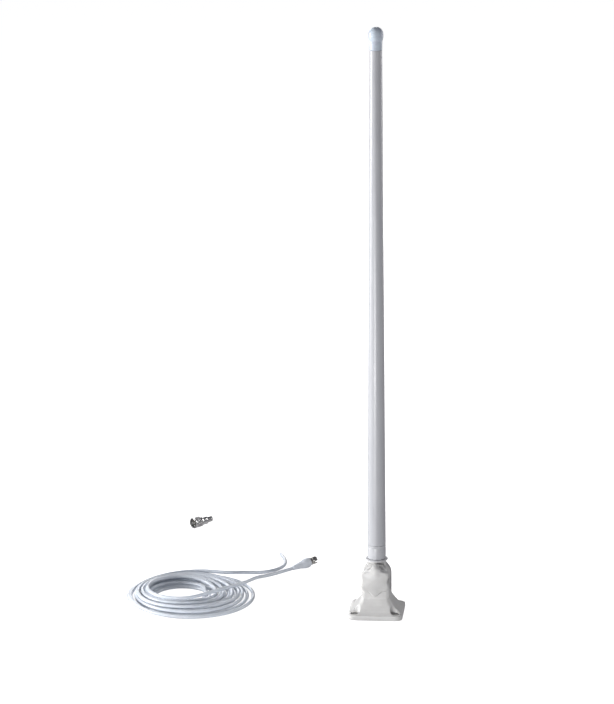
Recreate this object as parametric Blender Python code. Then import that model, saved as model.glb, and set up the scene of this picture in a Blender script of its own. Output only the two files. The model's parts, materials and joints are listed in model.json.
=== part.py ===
"""Whip antenna on a fold-down ratchet mount, with its coiled coaxial lead and a loose UHF plug.

Metres, +Z up. The origin is the centre of the mount's underside, X runs to the right and -Y is
the knob's side. The whip stands along +Z and folds about an axis along Y through both cheeks.
The mount is drawn with its clamp eased, so that the ratchet teeth are just out of mesh.
"""

import math

import bmesh
import bpy
from mathutils import Matrix, Vector

GAP = 0.0003            # between pieces that touch
FIT = 0.0003            # radial clearance of a shaft in its hole

# Mount base
FLANGE_SIDE = 0.092
FLANGE_CORNER = 0.011
FLANGE_LIP = 0.0085
SKIRT_TOP = 0.034
SKIRT_ROUNDNESS = 1.35  # 1 is a straight slope, 2 an elliptic hollow
COLUMN_WIDTH = 0.048
COLUMN_DEPTH = 0.047
COLUMN_EDGE = 0.006
PIVOT_HEIGHT = 0.0665
SLOT_WIDTH = 0.0216
SCREW_PITCH = 0.067
SCREW_HOLE = 0.0055
SCREW_POCKET = 0.0165
SCREW_SEAT = 0.0055

# Fold pivot and clamp
BOLT = 0.008
BOLT_HEAD_FLATS = 0.013
BOLT_HEAD_HEIGHT = 0.0053
BOLT_THREAD_IN_KNOB = 0.0105
SLEEVE_WALL = 0.0018
WASHER = 0.024
WASHER_THICKNESS = 0.0016
KNOB_RADIUS = 0.0237
KNOB_LOBE = 0.0027
KNOB_LOBES = 6
KNOB_THICKNESS = 0.0155
KNOB_CROWN = 0.0022
INSERT = 0.014
INSERT_LENGTH = 0.0125
TEETH = 24
TOOTH_HEIGHT = 0.0008
TOOTH_LAND = 0.0005     # how far a ring's tooth roots stand off its face
TOOTH_INNER = 0.0125
TOOTH_OUTER = 0.0225

# Swivel head
TONGUE_RADIUS = 0.0232
NECK_WIDTH = 0.031
COLLAR = 0.0318
COLLAR_THICKNESS = 0.0034
STUD = 0.0254
STUD_LENGTH = 0.0215
STUD_BORE = 0.014

# Whip
WHIP_TOP = 1.0
SEAL_BEAD = 0.0016
SEAL = 0.0378
SEAL_THICKNESS = 0.002
FERRULE = 0.0310
FERRULE_SKIRT = 0.0235
FERRULE_SPIGOT = 0.032
TUBE_BOTTOM = 0.0308
TUBE_TOP = 0.0204
TUBE_WALL = 0.0015
CAP_BULB = 0.0246
CAP_BULB_HEIGHT = 0.0215
CAP_NECK = 0.0212
CAP_NECK_HEIGHT = 0.0165
CAP_PLUG_LENGTH = 0.018

# Inside the tube
JACK = 0.008
JACK_LENGTH = 0.036
JACK_CHAMBER = 0.020
CARRIER_THICKNESS = 0.012
FEED_CABLE = 0.0049
LOWER_SLEEVE = 0.012
LOWER_SLEEVE_WALL = 0.0007
LOWER_SLEEVE_SPAN = (0.165, 0.335)
FORMER = 0.010
FORMER_LENGTH = 0.070
COIL_WIRE = 0.0018
COIL_TURNS = 8
RADIATOR = 0.0064
RADIATOR_WALL = 0.0005
RADIATOR_TOP = WHIP_TOP - 0.070
DISC_THICKNESS = 0.014
SLEEVE_DISC = 0.4       # the lowest disc's height, as a share of the lower sleeve
RADIATOR_DISCS = (0.12, 0.45, 0.78)     # the others', as shares of the radiator

# Lead: a 6 m cable, coiled on the deck. The coil is oval, and broader and lower to the right.
CABLE = 0.0062
COIL_CENTRE = (-0.319, 0.0565)
COIL_OUTER = 0.109
COIL_INNER = 0.047
COIL_STRETCH = 1.10     # along Y
COIL_INNER_SHIFT = (-0.023, -0.004)
COIL_HEIGHT = 0.020
COIL_RIGHT_HEIGHT = 0.75                # as a share of the height on the left
# A tail's points are (x, y, height of its underside)
CONNECTOR_TAIL = (
    (-0.2180, 0.1285, 0.0120), (-0.2115, 0.1435, 0.0086), (-0.2030, 0.1625, 0.0048),
    (-0.1945, 0.1795, 0.0020), (-0.1865, 0.1930, 0.0005), (-0.1800, 0.2015, 0.0003),
    (-0.1745, 0.2078, 0.0003), (-0.1694, 0.2122, 0.0006), (-0.1643, 0.2162, 0.0013),
)
FREE_TAIL = (
    (-0.2475, 0.1578, 0.0110), (-0.2350, 0.1680, 0.0074), (-0.2210, 0.1805, 0.0037),
    (-0.2075, 0.1940, 0.0012), (-0.1955, 0.2070, 0.0003), (-0.1865, 0.2190, 0.0002),
    (-0.1812, 0.2330, 0.0001), (-0.1800, 0.2480, 0.0001), (-0.1815, 0.2630, 0.0001),
    (-0.1855, 0.2800, 0.0001), (-0.1925, 0.2995, 0.0001),
)
TAIL_STEP = 0.014       # between the points of a tail's tube

# Lead's connector, from the boot's cable end
CONNECTOR_PLACE = (-0.1640, 0.2165, 0.0045)
CONNECTOR_HEADING = 38.0
CONNECTOR_RISE = 9.0
BOOT_LENGTH = 0.036
BOOT_SMALL = 0.0082
BOOT_LARGE = 0.0176
LEAD_NUT = 0.0135
LEAD_NUT_LENGTH = 0.0125
LEAD_SPIGOT = 0.0104

# Loose UHF plug
PLUG_CENTRE = (-0.3527, 0.4647)
PLUG_HEADING = 227.0
PLUG_NUT = 0.0196
PLUG_NUT_LENGTH = 0.019
PLUG_NUT_WALL = 0.0013
PLUG_NUT_FLOOR = 0.0022
PLUG_BODY = 0.0154
PLUG_THROAT = 0.0130
PLUG_FERRULE = 0.0112
PLUG_REDUCER_LENGTH = 0.012
PLUG_LENGTH = 0.043
PLUG_PIN = 0.004
KNURLS = 24


# Sides of a round surface
FINE = 36
PLAIN = 24
SMALL = 16


# --------------------------------------------------------------- tools

def finish(name, colour, roughness, metallic=0.0):
    """One Principled material."""
    made = bpy.data.materials.new(name)
    made.use_nodes = True
    shader = made.node_tree.nodes["Principled BSDF"]
    shader.inputs["Base Color"].default_value = (*colour, 1.0)
    shader.inputs["Roughness"].default_value = roughness
    shader.inputs["Metallic"].default_value = metallic
    return made


def add(name, bm, made_of=None, place=None, parent=None):
    """A mesh object from bm, closed and facing out, at the matrix place under parent."""
    bmesh.ops.remove_doubles(bm, verts=bm.verts, dist=1e-6)
    bmesh.ops.recalc_face_normals(bm, faces=bm.faces)
    mesh = bpy.data.meshes.new(name)
    bm.to_mesh(mesh)
    bm.free()
    mesh.shade_smooth()
    mesh.set_sharp_from_angle(angle=math.radians(35))
    obj = bpy.data.objects.new(name, mesh)
    bpy.context.scene.collection.objects.link(obj)
    if made_of:
        mesh.materials.append(made_of)
    if place:
        obj.matrix_basis = place
    if parent:
        obj.parent = parent
        obj.matrix_parent_inverse = parent.matrix_basis.inverted()
    return obj


def empty(name, place):
    """A frame to hang pieces on."""
    obj = bpy.data.objects.new(name, None)
    bpy.context.scene.collection.objects.link(obj)
    obj.matrix_basis = place
    return obj


def boolean(target, tool, operation):
    """Joins tool to target or cuts it away, and hides tool."""
    step = target.modifiers.new(tool.name, "BOOLEAN")
    step.operation = operation
    step.object = tool
    tool.hide_render = True
    tool.display_type = "WIRE"


def cut(target, name, bm, place=None):
    boolean(target, add(name, bm, place=place), "DIFFERENCE")


def join(target, name, bm, place=None):
    boolean(target, add(name, bm, place=place), "UNION")


def turned(profile, steps=PLAIN):
    """A solid of revolution about Z. The profile (radius, height) is a loop, or runs axis to axis."""
    bm = bmesh.new()
    points = [bm.verts.new((radius, 0.0, height)) for radius, height in profile]
    for first, second in zip(points, points[1:] + points[:1]):
        if first.co.x > 0 or second.co.x > 0:
            bm.edges.new((first, second))
    bmesh.ops.spin(
        bm, geom=bm.verts[:] + bm.edges[:], cent=(0, 0, 0), axis=(0, 0, 1),
        angle=2 * math.pi, steps=steps, use_merge=True,
    )
    return bm


def rod(radius, low, high, steps=PLAIN, edge=0.0):
    """A round bar along Z, its rims chamfered by edge."""
    return turned([
        (0.0, low), (radius - edge, low), (radius, low + edge),
        (radius, high - edge), (radius - edge, high), (0.0, high),
    ] if edge else [(0.0, low), (radius, low), (radius, high), (0.0, high)], steps)


def pipe(outer, inner, low, high, steps=PLAIN):
    return turned([(inner, low), (outer, low), (outer, high), (inner, high)], steps)


def block(low, high):
    """A box between two corners."""
    bm = bmesh.new()
    bmesh.ops.create_cube(bm, size=1.0)
    size = Vector(high) - Vector(low)
    centre = (Vector(high) + Vector(low)) / 2
    for vert in bm.verts:
        vert.co = Vector(a * b for a, b in zip(vert.co, size)) + centre
    return bm


def lofted(rings):
    """A closed skin over rings of points, capped at both ends."""
    bm = bmesh.new()
    rows = [[bm.verts.new(point) for point in ring] for ring in rings]
    count = len(rows[0])
    for lower, upper in zip(rows, rows[1:]):
        for i in range(count):
            j = (i + 1) % count
            bm.faces.new((lower[i], lower[j], upper[j], upper[i]))
    bm.faces.new(rows[0][::-1])
    bm.faces.new(rows[-1])
    return bm


def arc(centre, radius, start, end, steps):
    """Points (x, y) on an arc, by angle in degrees."""
    angles = [math.radians(start + (end - start) * i / steps) for i in range(steps + 1)]
    return [(centre[0] + radius * math.cos(a), centre[1] + radius * math.sin(a)) for a in angles]


def rounded_rectangle(width, depth, corner, steps=4):
    """Outline points (x, y) of a rectangle with round corners, anticlockwise."""
    x, y = width / 2 - corner, depth / 2 - corner
    centres = ((x, y), (-x, y), (-x, -y), (x, -y))
    return [p for i, c in enumerate(centres) for p in arc(c, corner, 90 * i, 90 * i + 90, steps)]


def tombstone(half_width, bottom, top_centre, steps=16):
    """Outline (x, z) with a flat bottom and a half-round top."""
    top = arc((0.0, top_centre), half_width, 0, 180, steps)
    return [(half_width, bottom)] + top + [(-half_width, bottom)]


def along_y(outline, front, back, edge=0.0, edge_steps=2):
    """An outline (x, z) extruded from y = front to y = back, both rims bevelled by edge."""
    bm = bmesh.new()
    face = bm.faces.new([bm.verts.new((x, front, z)) for x, z in outline])
    grown = bmesh.ops.extrude_face_region(bm, geom=[face])
    moved = [v for v in grown["geom"] if isinstance(v, bmesh.types.BMVert)]
    bmesh.ops.translate(bm, vec=(0, back - front, 0), verts=moved)
    bmesh.ops.recalc_face_normals(bm, faces=bm.faces)
    if edge:
        rims = [e for e in bm.edges if abs(e.verts[0].co.y - e.verts[1].co.y) < 1e-7]
        bmesh.ops.bevel(
            bm, geom=rims, offset=edge, segments=edge_steps, profile=0.5, affect="EDGES",
            clamp_overlap=True,
        )
    return bm


def smooth_route(points, step):
    """Points about a step apart on a smooth curve (centripetal Catmull-Rom) through points."""
    points = [Vector(p) for p in points]
    ends = [points[0] * 2 - points[1]] + points + [points[-1] * 2 - points[-2]]
    route = []
    for a, b, c, d in zip(ends, ends[1:], ends[2:], ends[3:]):
        count = max(1, round((c - b).length / step))
        for i in range(count):
            route.append(catmull_rom(a, b, c, d, i / count))
    return route + [points[-1]]


def catmull_rom(a, b, c, d, t):
    knots = [0.0]
    for first, second in ((a, b), (b, c), (c, d)):
        knots.append(knots[-1] + math.sqrt((second - first).length))
    t = knots[1] + t * (knots[2] - knots[1])

    def blend(p, q, low, high):
        return p * ((high - t) / (high - low)) + q * ((t - low) / (high - low))

    ab, bc, cd = (blend(p, q, k, m) for p, q, k, m in zip((a, b, c), (b, c, d), knots, knots[1:]))
    return blend(blend(ab, bc, knots[0], knots[2]), blend(bc, cd, knots[1], knots[3]),
                 knots[1], knots[2])


def cable(name, points, diameter, made_of, resolution=2):
    """A round cable along points: one POLY spline with a bevel and filled caps."""
    curve = bpy.data.curves.new(name, "CURVE")
    curve.dimensions = "3D"
    curve.bevel_depth = diameter / 2
    curve.bevel_resolution = resolution
    curve.use_fill_caps = True
    spline = curve.splines.new("POLY")
    spline.points.add(len(points) - 1)
    for knot, point in zip(spline.points, points):
        knot.co = (*point, 1.0)
    curve.materials.append(made_of)
    obj = bpy.data.objects.new(name, curve)
    bpy.context.scene.collection.objects.link(obj)
    return obj


def frame_at(place, heading, rise=0.0):
    """A matrix whose Z runs along heading (degrees from +X, level) and up by rise (degrees)."""
    turn = Matrix.Rotation(math.radians(heading), 4, "Z")
    tip = Matrix.Rotation(math.radians(90 - rise), 4, "Y")
    return Matrix.Translation(place) @ turn @ tip


# A solid turned about Z is laid along Y by this: its +Z becomes -Y, towards the knob.
FACING_FRONT = Matrix.Rotation(math.radians(90), 4, "X")
AT_PIVOT = Matrix.Translation((0, 0, PIVOT_HEIGHT)) @ FACING_FRONT


# --------------------------------------------------------------- derived places

CHEEK_FACE = COLUMN_DEPTH / 2
SLOT_FACE = SLOT_WIDTH / 2
TONGUE_BACK = SLOT_FACE - GAP
TONGUE_FRONT = SLOT_FACE - 2 * (TOOTH_LAND + TOOTH_HEIGHT) - GAP
TOOTH_SUNK = 0.002      # a ring's depth inside the moulding that carries it
SLEEVE = BOLT + 2 * FIT + 2 * SLEEVE_WALL
COLLAR_LOW = PIVOT_HEIGHT + COLUMN_WIDTH / 2 + 2 * GAP
COLLAR_TOP = COLLAR_LOW + COLLAR_THICKNESS
SEAL_LOW = COLLAR_TOP + GAP
FERRULE_LOW = SEAL_LOW + SEAL_THICKNESS + GAP
TUBE_LOW = FERRULE_LOW + FERRULE_SKIRT + GAP
TUBE_HIGH = WHIP_TOP - CAP_BULB_HEIGHT - CAP_NECK_HEIGHT
STUD_TOP = COLLAR_TOP + STUD_LENGTH
FERRULE_STEP = STUD_TOP + 0.004
FERRULE_TOP = TUBE_LOW + FERRULE_SPIGOT
WASHER_BACK = CHEEK_FACE + GAP
KNOB_BACK = WASHER_BACK + WASHER_THICKNESS + GAP
KNOB_FRONT = KNOB_BACK + KNOB_THICKNESS
INSERT_BACK = KNOB_BACK + 0.0004
BOLT_END = INSERT_BACK + BOLT_THREAD_IN_KNOB
HEAD_POCKET = CHEEK_FACE - BOLT_HEAD_HEIGHT - 2 * GAP


def tube_radius(height):
    """Outside radius of the tapered tube."""
    share = (height - TUBE_LOW) / (TUBE_HIGH - TUBE_LOW)
    return (TUBE_BOTTOM + (TUBE_TOP - TUBE_BOTTOM) * share) / 2


# --------------------------------------------------------------- mount

def skirt():
    """The flange's lip and the hollow slope from it up to the column."""
    slim = 0.0008       # stays this far inside the column's faces where it enters them
    high_width, high_depth = COLUMN_WIDTH - slim, COLUMN_DEPTH - slim
    rim = 0.0016
    rings = []
    for inset, height in ((0.0006, 0.0), (0.0, 0.0008), (0.0, FLANGE_LIP - rim),
                          (0.0005, FLANGE_LIP - 0.0004)):
        outline = rounded_rectangle(FLANGE_SIDE - 2 * inset, FLANGE_SIDE - 2 * inset, FLANGE_CORNER)
        rings.append([(x, y, height) for x, y in outline])
    steps = 7
    start = FLANGE_SIDE - 2 * rim
    for i in range(steps + 1):
        angle = math.pi / 2 * i / steps
        inward = math.sin(angle) ** (2 / SKIRT_ROUNDNESS)
        upward = 1 - math.cos(angle) ** (2 / SKIRT_ROUNDNESS)
        width = start + (high_width - start) * inward
        depth = start + (high_depth - start) * inward
        corner = FLANGE_CORNER + (COLUMN_EDGE - FLANGE_CORNER) * inward
        height = FLANGE_LIP + (SKIRT_TOP - FLANGE_LIP) * upward
        rings.append([(x, y, height) for x, y in rounded_rectangle(width, depth, corner)])
    return lofted(rings)


def ratchet_ring(base_height, turn):
    """A ring of radial teeth about Z, rising to base_height plus the tooth height."""
    bm = bmesh.new()
    half_teeth = 2 * TEETH
    loops = []
    for i in range(half_teeth):
        angle = 2 * math.pi * i / half_teeth + turn
        top = base_height + (TOOTH_HEIGHT if i % 2 == 0 else 0.0)
        across = (math.cos(angle), math.sin(angle))
        loops.append([
            bm.verts.new((radius * across[0], radius * across[1], height))
            for radius, height in ((TOOTH_INNER, top), (TOOTH_OUTER, top),
                                   (TOOTH_OUTER, 0.0), (TOOTH_INNER, 0.0))
        ])
    for i in range(half_teeth):
        first, second = loops[i], loops[(i + 1) % half_teeth]
        for k in range(4):
            m = (k + 1) % 4
            bm.faces.new((first[k], first[m], second[m], second[k]))
    return bm


def mount_base(nylon):
    """Flange, skirt and two cheeks in one moulding, with teeth inside the front cheek."""
    base = add("mount_base", skirt(), nylon)
    column = tombstone(COLUMN_WIDTH / 2, FLANGE_LIP / 2, PIVOT_HEIGHT)
    join(base, "column", along_y(column, -CHEEK_FACE, CHEEK_FACE, COLUMN_EDGE))
    slot_floor = PIVOT_HEIGHT - TONGUE_RADIUS - 0.002
    reach = COLUMN_WIDTH
    cut(base, "slot", block((-reach, -SLOT_FACE, slot_floor), (reach, SLOT_FACE, COLLAR_LOW)))
    teeth = ratchet_ring(TOOTH_SUNK + TOOTH_LAND, 0.0)
    front_cheek = Matrix.Translation((0, -SLOT_FACE - TOOTH_SUNK, PIVOT_HEIGHT))
    join(base, "cheek_teeth", teeth, front_cheek @ FACING_FRONT.inverted())
    cut(base, "bolt_hole", rod(BOLT / 2 + FIT, -COLUMN_DEPTH, COLUMN_DEPTH, SMALL), AT_PIVOT)
    flats = BOLT_HEAD_FLATS + 2 * FIT
    hexagon = rod(flats / math.sqrt(3), -COLUMN_DEPTH, -HEAD_POCKET, 6)
    cut(base, "head_pocket", hexagon, AT_PIVOT)
    for right in (-1, 1):
        for far in (-1, 1):
            place = Matrix.Translation((right * SCREW_PITCH / 2, far * SCREW_PITCH / 2, 0))
            where = f"{'left' if right < 0 else 'right'}_{'front' if far < 0 else 'back'}"
            pocket = rod(SCREW_POCKET / 2, SCREW_SEAT, SKIRT_TOP + FLANGE_LIP, SMALL)
            hole = rod(SCREW_HOLE / 2, -FLANGE_LIP, SCREW_SEAT + FLANGE_LIP, SMALL)
            cut(base, f"pocket_{where}", pocket, place)
            cut(base, f"hole_{where}", hole, place)
    return base


def clamp_parts(steel, brass, nylon, pivot):
    """The through bolt, the sleeve that the head turns on, the washer and the knob."""
    under_head = -HEAD_POCKET - GAP
    shank = rod(BOLT / 2, under_head - BOLT_HEAD_HEIGHT / 2, BOLT_END, SMALL, 0.0005)
    bolt = add("clamp_bolt", shank, steel, AT_PIVOT, pivot)
    head = rod(BOLT_HEAD_FLATS / math.sqrt(3), under_head - BOLT_HEAD_HEIGHT, under_head, 6)
    join(bolt, "bolt_head", head, AT_PIVOT)
    sleeve = pipe(SLEEVE / 2, BOLT / 2 + FIT, -TONGUE_BACK + GAP, SLOT_FACE - 0.0025)
    add("pivot_sleeve", sleeve, steel, AT_PIVOT, pivot)
    washer = pipe(WASHER / 2, BOLT / 2 + FIT, WASHER_BACK, WASHER_BACK + WASHER_THICKNESS)
    add("knob_washer", washer, steel, AT_PIVOT, pivot)
    insert_end = INSERT_BACK + INSERT_LENGTH
    insert = turned([
        (BOLT / 2 + FIT, INSERT_BACK), (INSERT / 2, INSERT_BACK), (INSERT / 2, insert_end),
        (0.0, insert_end), (0.0, BOLT_END + 0.0008), (BOLT / 2 + FIT, BOLT_END + 0.0008),
    ], SMALL)
    add("knob_insert", insert, brass, AT_PIVOT, pivot)
    knob(nylon, pivot, insert_end + GAP)


def knob_ring(height, inset=0.0, scale=1.0):
    """One section of the lobed knob."""
    count = KNOB_LOBES * 8
    ring = []
    for i in range(count):
        angle = 2 * math.pi * i / count
        lobe = math.cos(KNOB_LOBES * angle)
        radius = (KNOB_RADIUS + KNOB_LOBE * lobe - inset) * scale
        ring.append((radius * math.sin(angle), radius * math.cos(angle), height))
    return ring


def knob(nylon, pivot, bore_end):
    """Six soft lobes, a crowned front and a blind bore for the insert."""
    crown = KNOB_FRONT + KNOB_CROWN
    body = add("clamp_knob", lofted([
        knob_ring(KNOB_BACK, 0.0012), knob_ring(KNOB_BACK + 0.0012),
        knob_ring(KNOB_FRONT - 0.0045, 0.0004), knob_ring(KNOB_FRONT - 0.0018, 0.0016),
        knob_ring(KNOB_FRONT, 0.0042), knob_ring(crown - 0.0008, scale=0.62),
        knob_ring(crown, scale=0.25),
    ]), nylon, AT_PIVOT, pivot)
    bore = rod(INSERT / 2 + GAP, KNOB_BACK - 0.004, bore_end, SMALL)
    cut(body, "insert_bore", bore, AT_PIVOT)


def swivel_head(nylon):
    """Tongue with teeth, neck, collar and the hollow threaded stud."""
    tongue = along_y(arc((0, PIVOT_HEIGHT), TONGUE_RADIUS, 0, 350, 35), -TONGUE_FRONT, TONGUE_BACK)
    head = add("swivel_head", tongue, nylon)
    half = NECK_WIDTH / 2
    neck = block((-half, -TONGUE_FRONT, PIVOT_HEIGHT), (half, TONGUE_BACK, COLLAR_LOW + 0.001))
    join(head, "neck", neck)
    collar_edge = 0.0006
    stud_edge = 0.0008
    top = turned([
        (0.0, COLLAR_LOW), (COLLAR / 2 - collar_edge, COLLAR_LOW),
        (COLLAR / 2, COLLAR_LOW + collar_edge), (COLLAR / 2, COLLAR_TOP), (STUD / 2, COLLAR_TOP),
        (STUD / 2, STUD_TOP - stud_edge), (STUD / 2 - stud_edge, STUD_TOP), (0.0, STUD_TOP),
    ], FINE)
    join(head, "collar_and_stud", top)
    teeth = ratchet_ring(TOOTH_SUNK + TOOTH_LAND, math.pi / TEETH)
    tongue_face = Matrix.Translation((0, -TONGUE_FRONT + TOOTH_SUNK, PIVOT_HEIGHT))
    join(head, "tongue_teeth", teeth, tongue_face @ FACING_FRONT)
    cut(head, "sleeve_hole", rod(SLEEVE / 2 + FIT, -SLOT_WIDTH, SLOT_WIDTH), AT_PIVOT)
    floor = COLLAR_LOW + 0.001
    cut(head, "stud_bore", rod(STUD_BORE / 2, floor, STUD_TOP + 0.01))
    return head


# --------------------------------------------------------------- whip

def seal_ring(rubber):
    """Flat ring under the ferrule, with a round bead standing out beyond the tube."""
    middle = SEAL_LOW + SEAL_THICKNESS / 2
    centre = SEAL / 2 - SEAL_BEAD
    web = math.degrees(math.asin(SEAL_THICKNESS / 2 / SEAL_BEAD))
    bead = arc((centre, middle), SEAL_BEAD, web - 180, 180 - web, 8)
    inner = STUD / 2 + FIT
    loop = [(inner, middle - SEAL_THICKNESS / 2)] + bead + [(inner, middle + SEAL_THICKNESS / 2)]
    return add("collar_seal", turned(loop, FINE), rubber)


def ferrule(metal):
    """Threaded cup under the tube, with a spigot that the tube is bonded over."""
    outer, bore = FERRULE / 2, STUD / 2 + FIT
    waist = tube_radius(FERRULE_TOP) - TUBE_WALL - GAP
    edge = 0.0006
    return add("ferrule", turned([
        (bore, FERRULE_LOW), (outer - edge, FERRULE_LOW), (outer, FERRULE_LOW + edge),
        (TUBE_BOTTOM / 2, TUBE_LOW - GAP), (waist, TUBE_LOW - GAP),
        (waist, FERRULE_TOP), (JACK_CHAMBER / 2, FERRULE_TOP), (JACK_CHAMBER / 2, FERRULE_STEP),
        (bore, FERRULE_STEP),
    ], FINE), metal)


def radome_tube(glass_fibre):
    low, high = tube_radius(TUBE_LOW), tube_radius(TUBE_HIGH)
    return add("radome_tube", turned([
        (low - TUBE_WALL, TUBE_LOW), (low, TUBE_LOW), (high, TUBE_HIGH),
        (high - TUBE_WALL, TUBE_HIGH),
    ], FINE), glass_fibre)


def top_cap(vinyl):
    """Round-ended bulb on a short neck, with a plug down the tube."""
    neck_low = TUBE_HIGH + GAP
    neck_high = neck_low + CAP_NECK_HEIGHT
    neck, bulb = CAP_NECK / 2, CAP_BULB / 2
    plug = tube_radius(TUBE_HIGH) - TUBE_WALL - FIT
    dome = WHIP_TOP - bulb * 0.78
    crown = [(bulb * math.cos(a), dome + (WHIP_TOP - dome) * math.sin(a))
             for a in (math.radians(15 * i) for i in range(6))]
    return add("top_cap", turned([
        (0.0, neck_low - CAP_PLUG_LENGTH), (plug - 0.0006, neck_low - CAP_PLUG_LENGTH),
        (plug, neck_low - CAP_PLUG_LENGTH + 0.0006), (plug, neck_low), (neck, neck_low),
        (neck, neck_high - 0.0015), (neck + 0.0004, neck_high), (bulb - 0.0004, neck_high + 0.003),
        (bulb, neck_high + 0.0045), *crown, (0.0, WHIP_TOP),
    ], FINE), vinyl)


def jack(metal, ptfe, brass, acetal):
    """The whip's own connector, hanging in the stud's bore."""
    low = FERRULE_STEP - 0.010
    high = low + JACK_LENGTH
    carrier_low = FERRULE_STEP + 0.004
    carrier_high = carrier_low + CARRIER_THICKNESS
    carrier = pipe(JACK_CHAMBER / 2 - FIT, JACK / 2 + FIT, carrier_low, carrier_high)
    add("jack_carrier", carrier, acetal)
    flange, bore = JACK / 2 + 0.0016, 0.0028
    flange_low = carrier_high + GAP
    add("jack_body", turned([
        (bore, low), (JACK / 2 - 0.0004, low), (JACK / 2, low + 0.0004), (JACK / 2, flange_low),
        (flange, flange_low), (flange, flange_low + 0.002), (JACK / 2, flange_low + 0.002),
        (JACK / 2, high), (bore, high),
    ]), metal)
    pin = 0.0007
    add("jack_insulator", pipe(bore - FIT, pin + FIT, low + 0.004, high - 0.004, SMALL), ptfe)
    add("jack_pin", rod(pin, low + 0.001, high - 0.002, SMALL), brass)
    return high


def former_and_winding(glass_fibre, copper, low):
    """The rod that the phasing coil is wound on. It holds the sleeve below and the radiator above."""
    high = low + FORMER_LENGTH
    spigot = LOWER_SLEEVE / 2 - LOWER_SLEEVE_WALL - FIT
    tip = RADIATOR / 2 - RADIATOR_WALL - FIT
    cheek = FORMER / 2 + 0.0028
    add("coil_former", turned([
        (0.0, low - 0.012), (spigot, low - 0.012), (spigot, low + GAP), (cheek, low + GAP),
        (cheek, low + 0.0025), (FORMER / 2, low + 0.0025), (FORMER / 2, high - 0.0025),
        (cheek, high - 0.0025), (cheek, high), (tip, high), (tip, high + 0.014),
        (0.0, high + 0.014),
    ]), glass_fibre)
    radius = FORMER / 2 + GAP + COIL_WIRE / 2
    start, end = low + 0.006, high - 0.006
    per_turn = 12
    count = COIL_TURNS * per_turn
    points = []
    for i in range(count + 1):
        angle = 2 * math.pi * i / per_turn
        height = start + (end - start) * i / count
        points.append((radius * math.cos(angle), radius * math.sin(angle), height))
    cable("phasing_coil", points, COIL_WIRE, copper, 1)
    return high


def whip(mats):
    """Everything that unscrews from the head, the tube's contents among it."""
    seal_ring(mats["seal"])
    ferrule(mats["ferrule"])
    radome_tube(mats["tube"])
    top_cap(mats["cap"])
    jack_high = jack(mats["nickel"], mats["ptfe"], mats["brass"], mats["acetal"])
    sleeve_low, sleeve_high = LOWER_SLEEVE_SPAN
    inner = LOWER_SLEEVE / 2 - LOWER_SLEEVE_WALL
    lower = pipe(LOWER_SLEEVE / 2, inner, sleeve_low, sleeve_high)
    add("lower_sleeve", lower, mats["brass"])
    feed = rod(FEED_CABLE / 2, jack_high + GAP, sleeve_high - 0.012 - 2 * GAP, SMALL)
    add("feed_cable", feed, mats["jacket"])
    radiator_low = former_and_winding(mats["former"], mats["copper"], sleeve_high) + GAP
    radiator = pipe(RADIATOR / 2, RADIATOR / 2 - RADIATOR_WALL, radiator_low, RADIATOR_TOP, SMALL)
    add("upper_radiator", radiator, mats["brass"])
    heights = [sleeve_low + SLEEVE_DISC * (sleeve_high - sleeve_low)]
    heights += [radiator_low + share * (RADIATOR_TOP - radiator_low) for share in RADIATOR_DISCS]
    for number, height in enumerate(heights, 1):
        held = LOWER_SLEEVE if height < sleeve_high else RADIATOR
        outer = tube_radius(height + DISC_THICKNESS) - TUBE_WALL - GAP
        disc = pipe(outer, held / 2 + GAP, height, height + DISC_THICKNESS)
        add(f"centring_disc_{number}", disc, mats["foam"])


# --------------------------------------------------------------- lead

def coil_ring(jacket):
    """The outer shape of the coiled cable, lying on the deck."""
    middle, half = (COIL_OUTER + COIL_INNER) / 2, (COIL_OUTER - COIL_INNER) / 2
    shoulder = COIL_HEIGHT * 0.48
    section = [(middle - half * 0.72, 0.0), (middle + half * 0.80, 0.0)]
    for i in range(7):
        angle = math.radians(-20 + 220 * i / 6)
        section.append((middle + half * math.cos(angle),
                        shoulder + (COIL_HEIGHT - shoulder) * math.sin(angle)))
    bm = turned(section, 2 * PLAIN)
    for vert in bm.verts:
        radius = vert.co.xy.length
        inwards = (COIL_OUTER - radius) / (COIL_OUTER - COIL_INNER)
        rightness = (1 + vert.co.x / radius) / 2
        vert.co.z *= 1 + (COIL_RIGHT_HEIGHT - 1) * rightness
        vert.co.x += COIL_INNER_SHIFT[0] * inwards
        vert.co.y = vert.co.y * COIL_STRETCH + COIL_INNER_SHIFT[1] * inwards
    add("lead_coil", bm, jacket, Matrix.Translation((*COIL_CENTRE, 0.0)))


def tail(name, points, jacket):
    """A stretch of the cable off the coil, over points (x, y, height of its underside)."""
    route = smooth_route([(x, y, under + CABLE / 2) for x, y, under in points], TAIL_STEP)
    cable(name, route, CABLE, jacket)


def lead(mats):
    """The coil, its two tails, and the boot and connector on one of them."""
    coil_ring(mats["jacket"])
    tail("lead_tail_connector", CONNECTOR_TAIL, mats["jacket"])
    tail("lead_tail_free", FREE_TAIL, mats["jacket"])
    frame = frame_at(CONNECTOR_PLACE, CONNECTOR_HEADING, CONNECTOR_RISE)
    connector = empty("lead_connector", frame)
    small, large, length = BOOT_SMALL / 2, BOOT_LARGE / 2, BOOT_LENGTH
    hole = LEAD_SPIGOT / 2 + GAP
    pocket = length - 0.012
    add("lead_boot", turned([
        (0.0, GAP), (small - 0.0004, GAP), (small, 0.001), (small + 0.0004, length * 0.18),
        (large * 0.62, length * 0.42), (large * 0.88, length * 0.62), (large, length * 0.78),
        (large, length * 0.88), (large * 0.93, length * 0.96), (large * 0.84, length),
        (hole, length), (hole, pocket), (0.0, pocket),
    ]), mats["boot"], frame, connector)
    lead_connector(mats, frame, connector, pocket + GAP)


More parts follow.
